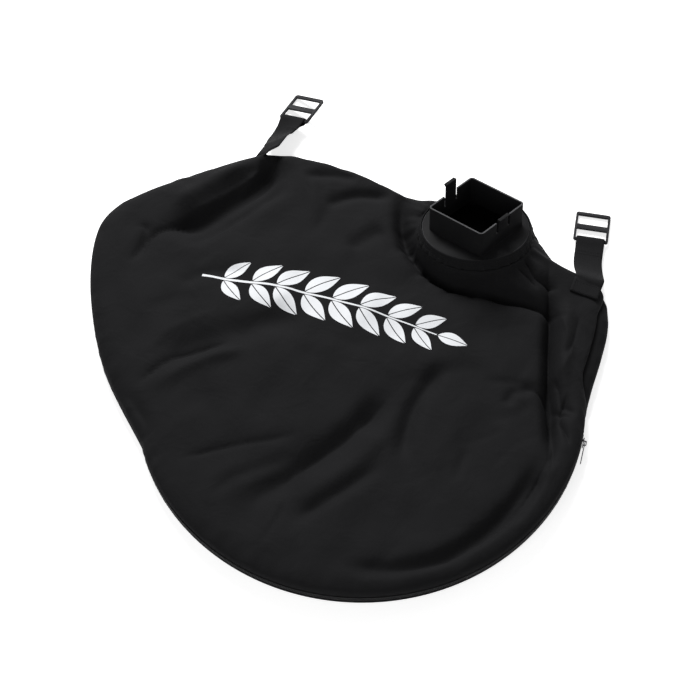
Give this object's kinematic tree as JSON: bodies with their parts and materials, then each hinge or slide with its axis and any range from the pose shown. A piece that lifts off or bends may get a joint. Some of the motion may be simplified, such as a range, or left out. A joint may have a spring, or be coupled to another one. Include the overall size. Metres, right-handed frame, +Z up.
{
  "type": "garden blower-vacuum collection bag",
  "caption": "Cloth collection bag lying flat, zipped round its curved bottom, with a moulded square collar in its neck and two webbing straps with ladder buckles",
  "frame": {"origin": "centre of the zip's arc, on the plane that the bag lies on", "axes": "+Z up out of the front panel, +X across the bag towards the right strap, +Y towards the neck"},
  "size_m": [0.7202, 0.7011, 0.1101],
  "materials": {
    "cloth": "black woven polyester, coated inside",
    "zip_tape": "black woven tape",
    "zip_teeth": "black nylon coil",
    "zip_metal": "die-cast zinc with a dark coat",
    "moulding": "black injection moulding, satin",
    "elastic": "covered elastic cord",
    "buckle": "dark grey acetal moulding",
    "webbing": "black woven polypropylene webbing"
  },
  "bodies": {
    "bag": {"front_panel": "cloth", "back_panel": "cloth", "neck_cuff": "cloth", "neck_elastic": "elastic", "collar": "moulding", "zip_tape_front": "zip_tape", "zip_tape_back": "zip_tape", "zip_teeth_front": "zip_teeth", "zip_teeth_back": "zip_teeth", "zip_top_stop_front": "zip_metal", "zip_top_stop_back": "zip_metal", "zip_bottom_stop": "zip_metal", "strap_right": "webbing", "strap_left": "webbing"},
    "slider": {"zip_slider": "zip_metal"},
    "pull": {"zip_pull": "zip_metal"},
    "buckle_right": {"buckle_right": "buckle"},
    "buckle_left": {"buckle_left": "buckle"}
  },
  "joints": [
    {"name": "zip_slide", "type": "hinge", "parent": "bag", "child": "slider", "pos_m": [0, 0, 0.014], "axis": [0, 0, 1], "range_deg": [-143, 0]},
    {"name": "pull_swing", "type": "hinge", "parent": "slider", "child": "pull", "pos_m": [0.27971, 0.06561, 0.014], "axis": [0, 0, 1], "range_deg": [0, 170]},
    {"name": "buckle_right_swing", "type": "hinge", "parent": "bag", "child": "buckle_right", "pos_m": [0.1592, 0.365, 0.0053], "axis": [0.9542, 0.299, 0], "range_deg": [-120, 120]},
    {"name": "buckle_left_swing", "type": "hinge", "parent": "bag", "child": "buckle_left", "pos_m": [-0.2985, 0.361, 0.0104], "axis": [0.966, -0.0051, 0.2586], "range_deg": [-120, 120]}
  ]
}
